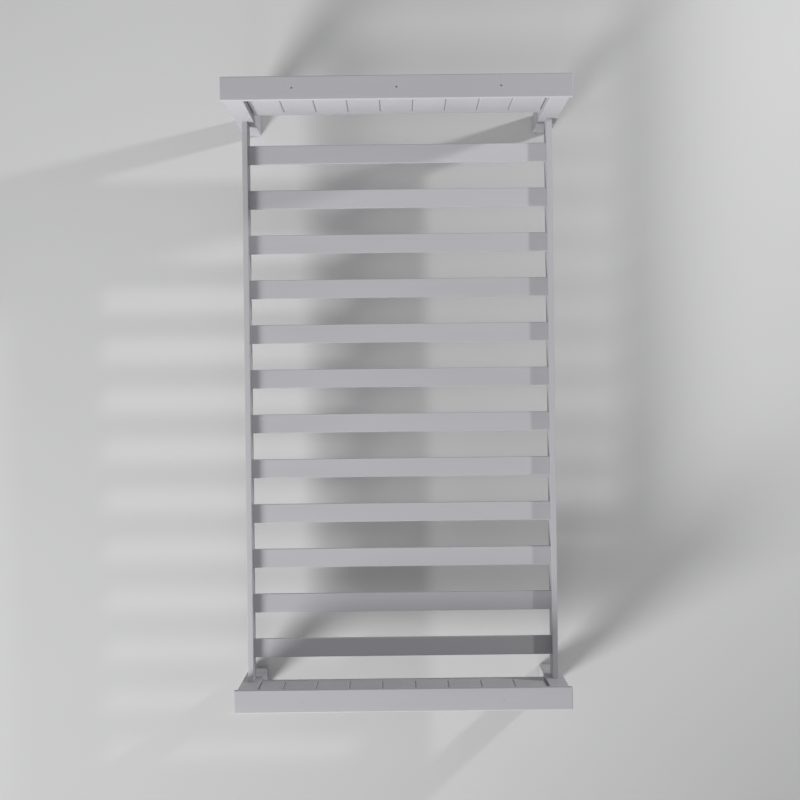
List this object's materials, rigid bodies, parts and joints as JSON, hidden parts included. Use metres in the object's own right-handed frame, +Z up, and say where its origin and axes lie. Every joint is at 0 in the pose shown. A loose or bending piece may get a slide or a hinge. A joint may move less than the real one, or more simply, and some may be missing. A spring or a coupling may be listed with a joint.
{
  "type": "slatted single bed frame",
  "caption": "Painted single bed frame: tall planked headboard, lower planked footboard, each with an overhanging cap, two side rails and a deck of slats set below the rail tops.",
  "frame": {"origin": "on the floor, under the middle of the bed", "axes": "+Y towards the headboard (length), +X to the right of a person at the foot who faces the headboard, +Z up"},
  "size_m": [1.112, 2.046, 0.848],
  "materials": {
    "frame_paint": "matt white paint over softwood, slightly worn at the edges",
    "plank_paint": "matt white paint over tongue and groove boards, faint grain",
    "slat_paint": "thin matt white paint over planed softwood slats",
    "beech_dowel": "bare beech dowel",
    "zinc_steel": "bright zinc plated steel",
    "glide_plastic": "moulded polythene disc on a steel nail"
  },
  "bodies": {
    "root": {"footboard_barrel_nuts": "zinc_steel", "footboard_bed_bolts": "zinc_steel", "footboard_bolt_washers": "zinc_steel", "footboard_bottom_rail": "frame_paint", "footboard_cap": "frame_paint", "footboard_cap_dowels": "beech_dowel", "footboard_cap_screws": "zinc_steel", "footboard_foot_glides": "glide_plastic", "footboard_left_post": "frame_paint", "footboard_plank_1": "plank_paint", "footboard_plank_2": "plank_paint", "footboard_plank_3": "plank_paint", "footboard_plank_4": "plank_paint", "footboard_plank_5": "plank_paint", "footboard_plank_6": "plank_paint", "footboard_plank_7": "plank_paint", "footboard_plank_8": "plank_paint", "footboard_plank_9": "plank_paint", "footboard_rail_dowels": "beech_dowel", "footboard_right_post": "frame_paint", "footboard_top_rail": "frame_paint", "headboard_barrel_nuts": "zinc_steel", "headboard_bed_bolts": "zinc_steel", "headboard_bolt_washers": "zinc_steel", "headboard_bottom_rail": "frame_paint", "headboard_cap": "frame_paint", "headboard_cap_dowels": "beech_dowel", "headboard_cap_screws": "zinc_steel", "headboard_foot_glides": "glide_plastic", "headboard_left_post": "frame_paint", "headboard_plank_1": "plank_paint", "headboard_plank_2": "plank_paint", "headboard_plank_3": "plank_paint", "headboard_plank_4": "plank_paint", "headboard_plank_5": "plank_paint", "headboard_plank_6": "plank_paint", "headboard_plank_7": "plank_paint", "headboard_plank_8": "plank_paint", "headboard_plank_9": "plank_paint", "headboard_rail_dowels": "beech_dowel", "headboard_right_post": "frame_paint", "headboard_top_rail": "frame_paint", "left_side_rail": "frame_paint", "right_side_rail": "frame_paint", "slat_01": "slat_paint", "slat_02": "slat_paint", "slat_03": "slat_paint", "slat_04": "slat_paint", "slat_05": "slat_paint", "slat_06": "slat_paint", "slat_07": "slat_paint", "slat_08": "slat_paint", "slat_09": "slat_paint", "slat_10": "slat_paint", "slat_11": "slat_paint", "slat_12": "slat_paint"}
  },
  "joints": []
}
